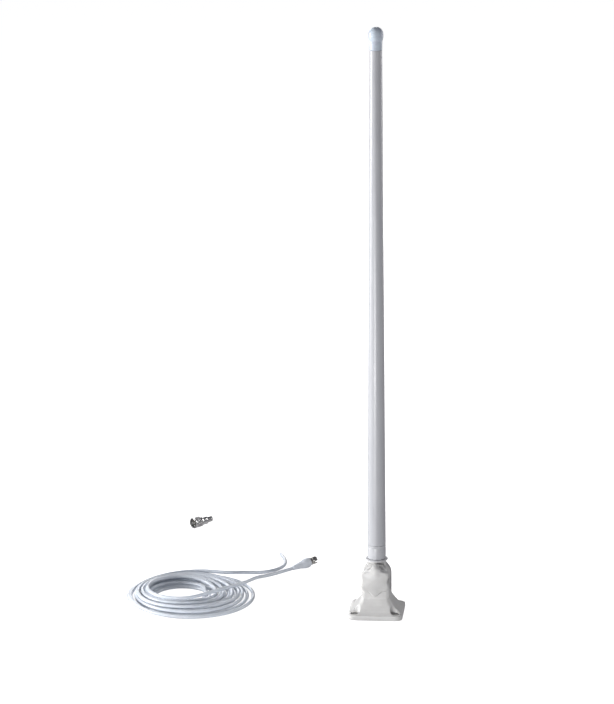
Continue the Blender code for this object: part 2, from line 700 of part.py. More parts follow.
def lead_connector(mats, frame, connector, low):
    """A small screw connector: crimped body, captive slotted nut, insulator and socket."""
    face = BOOT_LENGTH + GAP
    front = face + LEAD_NUT_LENGTH
    spigot, bore = LEAD_SPIGOT / 2, 0.0030
    shoulder_low = face + 0.0035
    shoulder = spigot - 0.0002
    body = turned([
        (bore, low), (spigot, low), (spigot, face), (0.0044, face + GAP), (0.0044, shoulder_low),
        (shoulder, shoulder_low), (shoulder, shoulder_low + 0.0015),
        (0.0040, shoulder_low + 0.0015), (0.0040, front - 0.0035), (bore, front - 0.0035),
    ])
    add("lead_connector_body", body, mats["nickel"], frame, connector)
    nut_bore = shoulder + FIT
    collar_bore = 0.0044 + FIT
    nut_low = face + GAP
    nut = add("lead_connector_nut", turned([
        (collar_bore, nut_low), (LEAD_NUT / 2 - 0.0005, nut_low), (LEAD_NUT / 2, nut_low + 0.0005),
        (LEAD_NUT / 2, front - 0.0005), (LEAD_NUT / 2 - 0.0005, front), (nut_bore, front),
        (nut_bore, shoulder_low - GAP), (collar_bore, shoulder_low - GAP),
    ]), mats["nickel"], frame, connector)
    slots, half = 4, 0.0011
    for i in range(slots):
        turn = Matrix.Rotation(2 * math.pi * (i + 0.5) / slots, 4, "Z")
        slot = block((nut_bore - 0.001, -half, front - 0.0075), (LEAD_NUT, half, front + 0.002))
        cut(nut, f"nut_slot_{i + 1}", slot, frame @ turn)
    contact = 0.0010
    insulator = pipe(bore - FIT, contact + FIT, low + 0.003, front - 0.0045, SMALL)
    add("lead_connector_insulator", insulator, mats["ptfe"], frame, connector)
    socket = turned([
        (0.0, low + 0.001), (contact, low + 0.001), (contact, front - 0.003),
        (0.0005, front - 0.003), (0.0005, front - 0.0075), (0.0, front - 0.0075),
    ], SMALL)
    add("lead_connector_socket", socket, mats["brass"], frame, connector)


# --------------------------------------------------------------- plug

def plug_nut(metal, frame, holder, low, high):
    """Coupling nut: smooth front rim, ridged band and a smooth rear shoulder."""
    outer, bore = PLUG_NUT / 2, PLUG_NUT / 2 - PLUG_NUT_WALL
    length = high - low
    band_low, band_high = low + 0.22 * length, low + 0.78 * length
    throat = PLUG_THROAT / 2 + FIT
    ridge, groove = outer - 0.0003, outer - 0.0010
    bm = turned([
        (throat, low), (outer - 0.0014, low), (outer - 0.0004, low + 0.0010),
        (outer - 0.0004, band_low - 0.0003), (groove, band_low), (groove, band_high),
        (outer - 0.0006, band_high + 0.0002), (outer - 0.0011, band_high + 0.0006),
        (outer - 0.0011, band_high + 0.0012), (outer, band_high + 0.0018),
        (outer, high - 0.0005), (outer - 0.0005, high), (bore, high),
        (bore, low + PLUG_NUT_FLOOR), (throat, low + PLUG_NUT_FLOOR),
    ], 2 * KNURLS)
    for vert in bm.verts:
        radius = vert.co.xy.length
        column = round(math.atan2(vert.co.y, vert.co.x) * KNURLS / math.pi)
        if abs(radius - groove) < 1e-6 and column % 2 == 0:
            vert.co.xy *= ridge / radius
    return add("plug_coupling_nut", bm, metal, frame, holder)


def plug(mats):
    """A UHF plug lying on its nut, open end to the front."""
    centre = (*PLUG_CENTRE, PLUG_NUT / 2 + GAP)
    frame = frame_at(centre, PLUG_HEADING)
    holder = empty("plug", frame)
    front, back = PLUG_LENGTH / 2, -PLUG_LENGTH / 2
    nut_low = front - PLUG_NUT_LENGTH
    plug_nut(mats["chrome"], frame, holder, nut_low, front)
    flange_low = nut_low + PLUG_NUT_FLOOR + GAP
    flange_high = flange_low + 0.002
    body, throat = PLUG_BODY / 2, PLUG_THROAT / 2
    flange = PLUG_NUT / 2 - PLUG_NUT_WALL - FIT
    mating, cavity, bore = body - 0.0006, body - 0.0018, body - 0.0031
    body_low = back + PLUG_REDUCER_LENGTH
    barrel_end = front - 0.004
    add("plug_body", turned([
        (bore, body_low), (body - 0.0005, body_low), (body, body_low + 0.0005),
        (body, nut_low - GAP), (throat, nut_low - GAP), (throat, flange_low),
        (flange, flange_low), (flange, flange_high), (mating, flange_high),
        (mating, barrel_end), (cavity, barrel_end), (cavity, flange_high - 0.0005),
        (bore, flange_low - 0.0005),
    ], FINE), mats["chrome"], frame, holder)
    pin, pin_bore, pin_low = PLUG_PIN / 2, 0.0012, nut_low - 0.003
    disc = pipe(cavity - FIT, pin + FIT, flange_high, flange_high + 0.0037)
    add("plug_insulator", disc, mats["bakelite"], frame, holder)
    tip = front + 0.0002
    add("plug_pin", turned([
        (pin_bore, pin_low), (pin, pin_low), (pin, tip - 0.0014), (pin - 0.0004, tip),
        (pin_bore, tip),
    ], SMALL), mats["nickel"], frame, holder)
    outer, nose, cable_bore = PLUG_FERRULE / 2, bore - FIT, CABLE / 2 + FIT
    add("plug_reducer", turned([
        (cable_bore, back), (outer - 0.0006, back), (outer, back + 0.0006),
        (outer, body_low - GAP), (nose, body_low - GAP), (nose, pin_low - 0.001),
        (cable_bore, pin_low - 0.001),
    ]), mats["chrome"], frame, holder)


# --------------------------------------------------------------- all of it

def finishes():
    return {
        "nylon": finish("white_nylon", (0.78, 0.78, 0.77), 0.42),
        "steel": finish("stainless_steel", (0.62, 0.62, 0.61), 0.30, 1.0),
        "brass": finish("brass", (0.72, 0.55, 0.27), 0.32, 1.0),
        "seal": finish("seal_vinyl", (0.66, 0.67, 0.68), 0.50),
        "ferrule": finish("painted_ferrule", (0.80, 0.81, 0.83), 0.32),
        "tube": finish("white_gelcoat", (0.82, 0.83, 0.85), 0.30),
        "cap": finish("grey_white_vinyl", (0.62, 0.67, 0.73), 0.40),
        "nickel": finish("nickel_plate", (0.66, 0.65, 0.62), 0.28, 1.0),
        "chrome": finish("bright_plate", (0.74, 0.74, 0.74), 0.16, 1.0),
        "ptfe": finish("ptfe", (0.86, 0.86, 0.84), 0.45),
        "acetal": finish("acetal", (0.12, 0.12, 0.12), 0.45),
        "bakelite": finish("bakelite", (0.16, 0.14, 0.13), 0.45),
        "former": finish("glass_epoxy_rod", (0.72, 0.70, 0.52), 0.50),
        "copper": finish("enamelled_copper", (0.60, 0.28, 0.14), 0.35, 1.0),
        "foam": finish("white_foam", (0.84, 0.84, 0.82), 0.85),
        "jacket": finish("white_pvc_jacket", (0.72, 0.76, 0.82), 0.38),
        "boot": finish("white_moulded_boot", (0.74, 0.77, 0.83), 0.42),
    }


def main():
    for obj in list(bpy.data.objects):
        bpy.data.objects.remove(obj)
    mats = finishes()
    pivot = empty("fold_pivot", Matrix.Translation((0, 0, PIVOT_HEIGHT)))
    mount_base(mats["nylon"])
    clamp_parts(mats["steel"], mats["brass"], mats["nylon"], pivot)
    swivel_head(mats["nylon"])
    whip(mats)
    lead(mats)
    plug(mats)


main()
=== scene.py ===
"""Looks for the folding whip antenna: finishes, soft mouldings, turned parts and the coiled lead.

Metres throughout, in the CAD model's own frame: +Z up, the knob towards -Y.
"""

import json
import math

import bmesh
import bpy
import numpy as np
from mathutils import Matrix, Vector


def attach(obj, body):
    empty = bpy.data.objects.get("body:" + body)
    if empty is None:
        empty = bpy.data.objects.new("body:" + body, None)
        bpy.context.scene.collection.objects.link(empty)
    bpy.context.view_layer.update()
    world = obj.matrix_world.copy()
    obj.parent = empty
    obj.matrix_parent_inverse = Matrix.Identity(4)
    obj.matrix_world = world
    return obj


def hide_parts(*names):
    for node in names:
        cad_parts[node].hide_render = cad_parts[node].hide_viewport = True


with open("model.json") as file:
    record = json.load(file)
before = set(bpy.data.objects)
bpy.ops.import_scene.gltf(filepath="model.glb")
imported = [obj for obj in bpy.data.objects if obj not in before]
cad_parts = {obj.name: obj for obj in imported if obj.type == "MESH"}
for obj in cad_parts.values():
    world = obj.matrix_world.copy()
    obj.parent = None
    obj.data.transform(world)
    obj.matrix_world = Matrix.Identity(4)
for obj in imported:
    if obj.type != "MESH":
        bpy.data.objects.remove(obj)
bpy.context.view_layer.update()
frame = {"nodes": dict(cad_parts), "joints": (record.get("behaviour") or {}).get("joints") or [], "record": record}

NODES = frame["nodes"]

# Camera: aim and distance, then turn, pitch and roll in degrees, and the lens in millimetres
AIM = (-0.1155, 0.0005, 0.4521)
DISTANCE = 6.4975
AZIMUTH = 5.5
PITCH = 14.7
ROLL = -0.35
LENS = 200.0

# Radial and end clearance between neighbouring pieces
CLEARANCE = 0.0003
# Bore of the collar's seal and of the ferrule's thread
COLLAR_BORE = 0.0130

# Lead, repeated from the CAD part. The tails are the cable's underside.
CABLE = 0.0062
COIL_CENTRE = Vector((-0.319, 0.0565))
COIL_OUTER = 0.109
COIL_INNER = 0.047
COIL_STRETCH = 1.10
COIL_INNER_SHIFT = Vector((-0.023, -0.004))
CONNECTOR_TAIL = (
    (-0.2180, 0.1285, 0.0120), (-0.2115, 0.1435, 0.0086), (-0.2030, 0.1625, 0.0048),
    (-0.1945, 0.1795, 0.0020), (-0.1865, 0.1930, 0.0005), (-0.1800, 0.2015, 0.0003),
    (-0.1745, 0.2078, 0.0003), (-0.1694, 0.2122, 0.0006), (-0.1643, 0.2162, 0.0013),
)
FREE_TAIL = (
    (-0.2475, 0.1578, 0.0110), (-0.2350, 0.1680, 0.0074), (-0.2210, 0.1805, 0.0037),
    (-0.2075, 0.1940, 0.0012), (-0.1955, 0.2070, 0.0003), (-0.1865, 0.2190, 0.0002),
    (-0.1812, 0.2330, 0.0001), (-0.1800, 0.2480, 0.0001), (-0.1815, 0.2630, 0.0001),
    (-0.1855, 0.2800, 0.0001), (-0.1925, 0.2995, 0.0001),
)
# Centre points of the strand that crosses the coil to the connector, and of the one that leaves
# the coil for the bare end
CROSSING = (
    (-0.2300, 0.0990, 0.0172), (-0.2440, 0.0730, 0.0195), (-0.2640, 0.0455, 0.0212),
    (-0.2850, 0.0205, 0.0215),
)
LEAVING = ((-0.3100, 0.1590, 0.0150), (-0.2900, 0.1552, 0.0150), (-0.2690, 0.1528, 0.0145))


# ------------------------------------------------------------------ finishes

class Finish:
    """A Principled material whose colour, roughness and relief come from noise in object space."""

    # Noise values of the darkest and the lightest tone, and pointiness where the painted edge highlight begins and
    # where it is full
    TONE_ENDS = (0.34, 0.66)
    CONVEX_EDGES = (0.52, 0.60)
    # Scale of a wave texture whose rings are one metre apart
    ONE_RING = 0.314

    def __init__(self, name, colour, roughness, metallic=0.0, stretch=(1.0, 1.0, 1.0)):
        self.made = bpy.data.materials.new(name)
        self.made.use_nodes = True
        self.tree = self.made.node_tree
        self.shader = self.tree.nodes["Principled BSDF"]
        self.shader.inputs["Metallic"].default_value = metallic
        self.colour, self.roughness = colour, roughness
        where = self.node("TexCoord")
        self.place = self.node("Mapping", Scale=stretch)
        self.link(where.outputs["Object"], self.place.inputs["Vector"])
        self.height = None

    def node(self, kind, **values):
        made = self.tree.nodes.new("ShaderNode" + kind)
        for socket, value in values.items():
            made.inputs[socket.replace("_", " ")].default_value = value
        return made

    def link(self, source, target):
        self.tree.links.new(source, target)

    def set(self, **values):
        for socket, value in values.items():
            self.shader.inputs[socket.replace("_", " ")].default_value = value
        return self

    def noise(self, size, detail=3.0):
        made = self.node("TexNoise", Scale=1.0 / size, Detail=detail)
        self.link(self.place.outputs["Vector"], made.inputs["Vector"])
        return made.outputs["Fac"]

    def spread(self, source, low, high, start=0.35, end=0.65):
        made = self.node("MapRange", From_Min=start, From_Max=end, To_Min=low, To_Max=high)
        self.link(source, made.inputs["Value"])
        return made.outputs["Result"]

    def mottle(self, amount, size, tint=(1.0, 1.0, 1.0)):
        """Colour drifts between a darker, tinted tone and a lighter one."""
        ramp = self.node("ValToRGB")
        ends = ramp.color_ramp.elements
        ends[0].position, ends[1].position = self.TONE_ENDS
        ends[0].color = (*[c * (1 - amount) * t for c, t in zip(self.colour, tint)], 1.0)
        ends[1].color = (*[min(1.0, c * (1 + amount)) for c in self.colour], 1.0)
        self.link(self.noise(size), ramp.inputs["Fac"])
        self.link(ramp.outputs["Color"], self.shader.inputs["Base Color"])
        return self

    def overlay(self, colour, share):
        """Lays a colour over the base colour, as much as the share says."""
        over = self.tree.nodes.new("ShaderNodeMix")
        over.data_type = "RGBA"
        factor, under, top = over.inputs[0], over.inputs[6], over.inputs[7]
        self.link(share, factor)
        self.link(self.shader.inputs["Base Color"].links[0].from_socket, under)
        top.default_value = (*colour, 1.0)
        self.link(over.outputs[2], self.shader.inputs["Base Color"])
        return self

    def specks(self, colour, size, share):
        """Small stains laid over the colour where a fine noise is high."""
        fine = self.noise(size, 6.0)
        return self.overlay(colour, self.spread(fine, 0.0, 1.0, 0.72 - share, 0.80))

    def wear_and_edge_highlight(self, highlight_lift, roughen):
        """Convex edges are painted a little paler than the faces, a painted highlight that partly stands for
        rubbed wear, and the gloss varies.
        """
        sharp = self.tree.nodes.new("ShaderNodeNewGeometry").outputs["Pointiness"]
        # painted highlight: convex edges lighter than the faces, partly standing for wear
        edge_highlight = [min(1.0, c * (1 + highlight_lift)) for c in self.colour]
        self.overlay(edge_highlight, self.spread(sharp, 0.0, 1.0, *self.CONVEX_EDGES))
        return self.uneven(roughen, 0.004)

    def uneven(self, amount, size):
        """Roughness drifts by the amount to either side."""
        result = self.spread(self.noise(size), self.roughness - amount, self.roughness + amount)
        self.link(result, self.shader.inputs["Roughness"])
        return self

    def relief(self, source, strength, distance):
        """Bumps on top of the ones that are there."""
        bump = self.node("Bump", Strength=strength, Distance=distance)
        self.link(source, bump.inputs["Height"])
        if self.height:
            self.link(self.height, bump.inputs["Normal"])
        self.height = bump.outputs["Normal"]
        self.link(self.height, self.shader.inputs["Normal"])
        return self

    def grain(self, size, strength, distance=0.0002):
        return self.relief(self.noise(size, 2.0), strength, distance)

    def turning_marks(self, pitch, strength):
        """Fine rings about the piece's own Z axis, as a lathe leaves them."""
        rings = self.node("TexWave", Scale=self.ONE_RING / pitch, Distortion=1.5, Detail=2.0)
        rings.bands_direction = "Z"
        self.link(self.place.outputs["Vector"], rings.inputs["Vector"])
        return self.relief(rings.outputs["Fac"], strength, 0.00004)

    def done(self):
        return self.made


def make_finishes():
    """All the materials, by the record's slot names."""
    made = {}
    # The edge step on nylon, paint, cap and boot paints paler convex edges: a painted highlight, partly wear.
    nylon = Finish("moulded_nylon", (0.690, 0.685, 0.676), 0.38).mottle(0.035, 0.018)
    nylon.wear_and_edge_highlight(0.10, 0.06).grain(0.0009, 0.16, 0.0002).grain(0.012, 0.10, 0.0006)
    nylon.set(Subsurface_Weight=0.12, Subsurface_Radius=(0.004, 0.0038, 0.0034))
    made["nylon"] = nylon.done()
    tube = Finish("gelcoat", (0.535, 0.543, 0.570), 0.33, stretch=(1.0, 1.0, 0.16))
    tube.mottle(0.03, 0.010, (0.99, 0.99, 1.0)).specks((0.60, 0.60, 0.62), 0.0022, 0.02)
    tube.uneven(0.05, 0.008).grain(0.0035, 0.12, 0.0003).set(Coat_Weight=0.15, Coat_Roughness=0.35)
    made["gelcoat"] = tube.done()
    paint = Finish("painted_ferrule", (0.560, 0.568, 0.595), 0.32).mottle(0.03, 0.006)
    paint.wear_and_edge_highlight(0.06, 0.05).grain(0.0012, 0.14, 0.0002).set(Coat_Weight=0.2, Coat_Roughness=0.25)
    made["ferrule_paint"] = paint.done()
    seal = Finish("seal_vinyl", (0.56, 0.565, 0.585), 0.46).mottle(0.08, 0.004)
    made["seal_vinyl"] = seal.uneven(0.08, 0.003).grain(0.0005, 0.25, 0.0002).done()
    cap = Finish("cap_vinyl", (0.600, 0.680, 0.760), 0.42).mottle(0.06, 0.008, (1.03, 0.99, 1.03))
    cap.wear_and_edge_highlight(0.12, 0.06).grain(0.0010, 0.16, 0.0002)
    cap.set(Subsurface_Weight=0.10, Subsurface_Radius=(0.003, 0.003, 0.003))
    made["cap_vinyl"] = cap.done()
    jacket = Finish("cable_jacket", (0.700, 0.745, 0.815), 0.38).mottle(0.05, 0.012)
    jacket.specks((0.60, 0.64, 0.70), 0.0040, 0.03).uneven(0.07, 0.005).grain(0.0008, 0.12)
    made["jacket"] = jacket.set(Coat_Weight=0.15, Coat_Roughness=0.25).done()
    boot = Finish("moulded_boot", (0.720, 0.760, 0.825), 0.42).mottle(0.05, 0.006)
    boot.wear_and_edge_highlight(0.10, 0.06).grain(0.0007, 0.20)
    made["boot_vinyl"] = boot.set(Subsurface_Weight=0.10, Subsurface_Radius=(0.003,) * 3).done()
    # slot, colour, roughness, pitch of the turning marks and their strength
    metals = (
        ("stainless", (0.60, 0.60, 0.59), 0.30, 0.00022, 0.30),
        ("nickel", (0.68, 0.67, 0.64), 0.26, 0.00016, 0.22),
        ("bright_plate", (0.80, 0.795, 0.79), 0.19, 0.00030, 0.12),
        ("brass", (0.70, 0.53, 0.26), 0.30, 0.00020, 0.25),
    )
    for name, colour, roughness, pitch, marks in metals:
        metal = Finish(name + "_metal", colour, roughness, 1.0).mottle(0.06, 0.003)
        metal.uneven(0.06, 0.0015).turning_marks(pitch, marks).grain(0.0003, 0.06, 0.00005)
        made[name] = metal.done()
    copper = Finish("enamelled_copper", (0.58, 0.26, 0.13), 0.30, 1.0).mottle(0.10, 0.004)
    made["copper_wire"] = copper.uneven(0.08, 0.003).grain(0.0006, 0.1).set(Coat_Weight=0.6).done()
    # slot, colour, roughness, drift of the colour and size of the grain
    plastics = (
        ("ptfe", (0.84, 0.84, 0.82), 0.44, 0.03, 0.0006),
        ("acetal", (0.10, 0.10, 0.10), 0.42, 0.10, 0.0007),
        ("bakelite", (0.215, 0.205, 0.195), 0.40, 0.22, 0.0009),
        ("epoxy_rod", (0.66, 0.64, 0.45), 0.48, 0.10, 0.0005),
        ("foam", (0.82, 0.82, 0.79), 0.85, 0.06, 0.0014),
    )
    for name, colour, roughness, drift, grain in plastics:
        plastic = Finish(name + "_plastic", colour, roughness).mottle(drift, 0.004)
        made[name] = plastic.uneven(0.06, 0.003).grain(grain, 0.3).done()
    return made


# ------------------------------------------------------------------ mesh tools

def axis_frame(joint_name):
    """A matrix whose Z is the named joint's axis, at the joint's place."""
    joint = next(j for j in frame["joints"] if j["name"] == joint_name)
    turn = Vector((0, 0, 1)).rotation_difference(Vector(joint["axis"])).to_matrix().to_4x4()
    return Matrix.Translation(joint["pos_m"]) @ turn


UPRIGHT = Matrix.Identity(4)
PIVOT = next(Vector(j["pos_m"]) for j in frame["joints"] if j["name"] == "fold")
CLAMP = Matrix.Translation(PIVOT) @ Matrix.Rotation(math.radians(90), 4, "X")
LEAD = axis_frame("lead_nut_spin")
PLUG = axis_frame("plug_nut_spin")


def measured(node, place=UPRIGHT):
    """(lowest, highest, widest radius) of a CAD node along and about the place's Z axis."""
    back = place.inverted()
    points = [back @ v.co for v in NODES[node].data.vertices]
    heights = [p.z for p in points]
    return min(heights), max(heights), max(p.xy.length for p in points)


def show(name, bm, place=UPRIGHT, smooth_angle=40.0):
    """A new object from bm, facing out, at place."""
    bmesh.ops.remove_doubles(bm, verts=bm.verts, dist=1e-7)
    bmesh.ops.recalc_face_normals(bm, faces=bm.faces)
    mesh = bpy.data.meshes.new(name)
    bm.to_mesh(mesh)
    bm.free()
    mesh.shade_smooth()
    mesh.set_sharp_from_angle(angle=math.radians(smooth_angle))
    obj = bpy.data.objects.new(name, mesh)
    bpy.context.scene.collection.objects.link(obj)
    obj.matrix_world = place
    return obj


def turned(profile, steps=96):
    """A solid of revolution about Z, from a profile (radius, height)."""
    bm = bmesh.new()
    points = [bm.verts.new((radius, 0.0, height)) for radius, height in profile]
    for first, second in zip(points, points[1:] + points[:1]):
        if first.co.x > 0 or second.co.x > 0:
            bm.edges.new((first, second))
    bmesh.ops.spin(
        bm, geom=bm.verts[:] + bm.edges[:], cent=(0, 0, 0), axis=(0, 0, 1),
        angle=2 * math.pi, steps=steps, use_merge=True,
    )
    return bm


def arc(centre, radius, start, end, steps):
    """Points on a round arc, from one angle in degrees to another."""
    angles = [math.radians(start + (end - start) * i / steps) for i in range(steps + 1)]
    return [(centre[0] + radius * math.cos(a), centre[1] + radius * math.sin(a)) for a in angles]


def flowing(points, per_span):
    """More points on a smooth curve through points, of two or three numbers."""
    points = [Vector(p) for p in points]
    ends = [points[0] * 2 - points[1]] + points + [points[-1] * 2 - points[-2]]
    route = []
    for a, b, c, d in zip(ends, ends[1:], ends[2:], ends[3:]):
        for i in range(per_span):
            t = i / per_span
            route.append(0.5 * (2 * b + (c - a) * t + (2 * a - 5 * b + 4 * c - d) * t ** 2
                                + (3 * b - a - 3 * c + d) * t ** 3))
    return route + [points[-1]]


def rounded(obj, width, segments=3):
    """Rounds an object's sharper edges."""
    step = obj.modifiers.new("rounded", "BEVEL")
    step.width = width
    step.segments = segments
    step.limit_method = "ANGLE"
    step.angle_limit = math.radians(30)
    step.use_clamp_overlap = True
    return obj


def applied(obj):
    """The object's mesh with its modifiers made permanent."""
    graph = bpy.context.evaluated_depsgraph_get()
    mesh = bpy.data.meshes.new_from_object(obj.evaluated_get(graph))
    obj.modifiers.clear()
    obj.data = mesh
    mesh.shade_smooth()
    return obj


def softened(name, node, voxel, passes, keep):
    """A CAD node's mesh with its edges and inner corners melted as in a moulding."""
    mesh = NODES[node].data.copy()
    mesh.name = name
    obj = bpy.data.objects.new(name, mesh)
    bpy.context.scene.collection.objects.link(obj)
    weld = obj.modifiers.new("weld", "WELD")
    weld.merge_threshold = 1e-6
    remesh = obj.modifiers.new("remesh", "REMESH")
    remesh.mode = "VOXEL"
    remesh.voxel_size = voxel
    smooth = obj.modifiers.new("smooth", "SMOOTH")
    smooth.factor = 0.5
    smooth.iterations = passes
    fewer = obj.modifiers.new("fewer", "DECIMATE")
    fewer.ratio = keep
    return applied(obj)


def dress(obj, material, body, *nodes, slot):
    """Gives a piece its material and body, and hides the CAD nodes it stands for."""
    obj.data.materials.clear()
    obj.data.materials.append(FINISHES[material])
    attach(obj, body)
    if nodes:
        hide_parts(*nodes)
    return obj


# ------------------------------------------------------------------ mount and clamp

KNOB_LOBES = 6
# How far a lobe rises and a hollow falls from the knob's mean radius
KNOB_LOBE = 0.0027
BOLT_SHANK = 0.0040


def mount():
    """The base with its two cheeks, one soft moulding."""
    base = softened("mount_moulding", "mount_base", voxel=0.00058, passes=5, keep=0.30)
    dress(base, "nylon", "mount", "mount_base", slot="nylon")


def head():
    """The tongue between the cheeks and the collar above it, one soft moulding."""
    moulding = softened("swivel_moulding", "swivel_head", voxel=0.00050, passes=3, keep=0.35)
    dress(moulding, "nylon", "whip", "swivel_head", slot="nylon")


def knob_rings(back, crown, wall):
    """Rings from the knob's back to its face: inset from the wall, height, and depth of the lobes."""
    shoulder_inset, shoulder_rise, shoulder_steps = 0.0044, 0.0036, 8
    dome, fullness = 0.0024, 2.2
    face_lobing, flat_share = 0.55, 0.3
    shoulder = crown - dome - shoulder_rise
    rings = [(0.0016, back, 1.0), (0.0005, back + 0.0004, 1.0), (0.0, back + 0.0014, 1.0)]
    rings += [(0.0, back + (shoulder - back) * share, 1.0) for share in (0.35, 0.7)]
    for i in range(shoulder_steps + 1):
        done = i / shoulder_steps
        inset = shoulder_inset * (1 - math.cos(math.pi / 2 * done))
        height = shoulder + shoulder_rise * math.sin(math.pi / 2 * done)
        rings.append((inset, height, 1.0 - (1.0 - face_lobing) * done))
    rim = wall - shoulder_inset
    for share in (0.88, 0.74, 0.58, 0.42, 0.26, 0.12):
        height = crown - dome * share ** fullness
        rings.append((wall - rim * share, height, face_lobing * max(0.0, share - flat_share) ** 1.5))
    return rings


def knob():
    """Six soft lobes under a pillowed front, and the bore for the insert."""
    back, crown, crest = measured("clamp_knob", CLAMP)
    _, insert_end, insert = measured("knob_insert", CLAMP)
    wall = crest - KNOB_LOBE
    bm = bmesh.new()
    columns = KNOB_LOBES * 24
    rows = []
    for inset, height, lobing in knob_rings(back, crown, wall):
        row = []
        for i in range(columns):
            angle = 2 * math.pi * i / columns
            wave = math.cos(KNOB_LOBES * angle)
            radius = wall + KNOB_LOBE * lobing * wave - inset
            row.append(bm.verts.new((radius * math.sin(angle), radius * math.cos(angle), height)))
        rows.append(row)
    for lower, upper in zip(rows, rows[1:]):
        for i in range(columns):
            j = (i + 1) % columns
            bm.faces.new((lower[i], lower[j], upper[j], upper[i]))
    bm.faces.new(rows[0])
    middle = bm.verts.new((0, 0, crown))
    for i in range(columns):
        bm.faces.new((rows[-1][i], rows[-1][(i + 1) % columns], middle))
    piece = show("knob_moulding", bm, CLAMP)
    gap, past = 0.0002, 0.002
    bore = show("knob_bore", turned([
        (0.0, back - past), (insert + gap, back - past),
        (insert + gap, insert_end + gap), (0.0, insert_end + gap),
    ], 48), CLAMP)
    hollow = piece.modifiers.new("bore", "BOOLEAN")
    hollow.object = bore
    applied(piece)
    bpy.data.objects.remove(bore)
    piece.data.set_sharp_from_angle(angle=math.radians(50))
    dress(piece, "nylon", "knob", "clamp_knob", slot="nylon")


def clamp_bolt():
    """The hex bolt, its head and its end chamfered."""
    head_end, bolt_end, corner = measured("clamp_bolt", CLAMP)
    depth, chamfer, end_chamfer = 0.0053, 0.0011, 0.0006
    flat = corner * math.cos(math.radians(30))
    wide, past = corner + 0.0004, 0.001
    bolt = show("bolt_head", turned([
        (0.0, head_end), (corner, head_end), (corner, head_end + depth), (0.0, head_end + depth),
    ], 6), CLAMP)
    cone = show("bolt_cone", turned([
        (0.0, head_end), (flat * 0.97, head_end), (wide, head_end + chamfer),
        (wide, head_end + depth + past), (0.0, head_end + depth + past),
    ], 96), CLAMP)
    stem = show("bolt_stem", turned([
        (0.0, head_end + depth / 2), (BOLT_SHANK, head_end + depth / 2),
        (BOLT_SHANK, bolt_end - end_chamfer), (BOLT_SHANK - end_chamfer, bolt_end),
        (0.0, bolt_end),
    ], 48), CLAMP)
    for tool, operation in ((cone, "INTERSECT"), (stem, "UNION")):
        step = bolt.modifiers.new(tool.name, "BOOLEAN")
        step.operation = operation
        step.object = tool
    applied(bolt)
    for tool in (cone, stem):
        bpy.data.objects.remove(tool)
    bolt.name = "hex_bolt"
    bolt.data.set_sharp_from_angle(angle=math.radians(25))
    dress(bolt, "stainless", "mount", "clamp_bolt", slot="stainless")


def washer():
    """The flat washer under the knob."""
    low, high, radius = measured("knob_washer", CLAMP)
    inner = BOLT_SHANK + CLEARANCE
    ring = show("washer", turned([
        (inner, low), (radius, low), (radius, high), (inner, high),
    ]), CLAMP)
    dress(rounded(ring, 0.0003), "stainless", "knob_carrier", "knob_washer", slot="stainless")


# ------------------------------------------------------------------ whip

def seal():
    """The flat ring with its round bead."""
    low, high, outer = measured("collar_seal")
    bead = (high - low) / 2
    middle = (low + high) / 2
    web = bead * 0.62
    open_angle = math.degrees(math.asin(web / bead))
    edge = arc((outer - bead, middle), bead, open_angle - 180, 180 - open_angle, 20)
    ring = [(COLLAR_BORE, middle - web)] + edge + [(COLLAR_BORE, middle + web)]
    piece = show("seal_ring", turned(ring, 128))
    dress(piece, "seal_vinyl", "whip", "collar_seal", slot="seal_vinyl")


def ferrule():
    """The painted cup: a chamfered foot, a fine groove and the spigot inside the tube."""
    low, high, outer = measured("ferrule")
    tube_low, _, tube_radius = measured("radome_tube")
    top = tube_low - CLEARANCE
    spigot = tube_radius - 0.0022
    chamber, thread_depth = 0.0100, 0.0235
    chamfer = 0.0007
    groove, groove_depth, groove_half = top - 0.0040, 0.0003, 0.0004
    upper = outer - 0.0001
    piece = show("ferrule_cup", turned([
        (COLLAR_BORE, low), (outer - chamfer, low), (outer, low + chamfer),
        (outer, groove - groove_half), (outer - groove_depth, groove), (upper, groove + groove_half),
        (upper, top), (spigot, top), (spigot, high), (chamber, high),
        (chamber, low + thread_depth), (COLLAR_BORE, low + thread_depth),
    ], 128))
    dress(rounded(piece, 0.00018, 2), "ferrule_paint", "whip", "ferrule", slot="ferrule_paint")


def tube():
    """The tapered tube, both ends eased."""
    low, high, outer = measured("radome_tube")
    neck = max(v.co.xy.length for v in NODES["radome_tube"].data.vertices
               if v.co.z > high - 0.001)
    wall, ease = 0.0015, 0.0004
    spans = 24
    outside = [(outer + (neck - outer) * i / spans, low + (high - low) * i / spans)
               for i in range(1, spans)]
    piece = show("fibreglass_tube", turned([
        (outer - wall, low), (outer - ease, low), (outer, low + ease), *outside,
        (neck, high - ease), (neck - ease, high), (neck - wall, high),
    ], 128))
    dress(piece, "gelcoat", "whip", "radome_tube", slot="gelcoat")


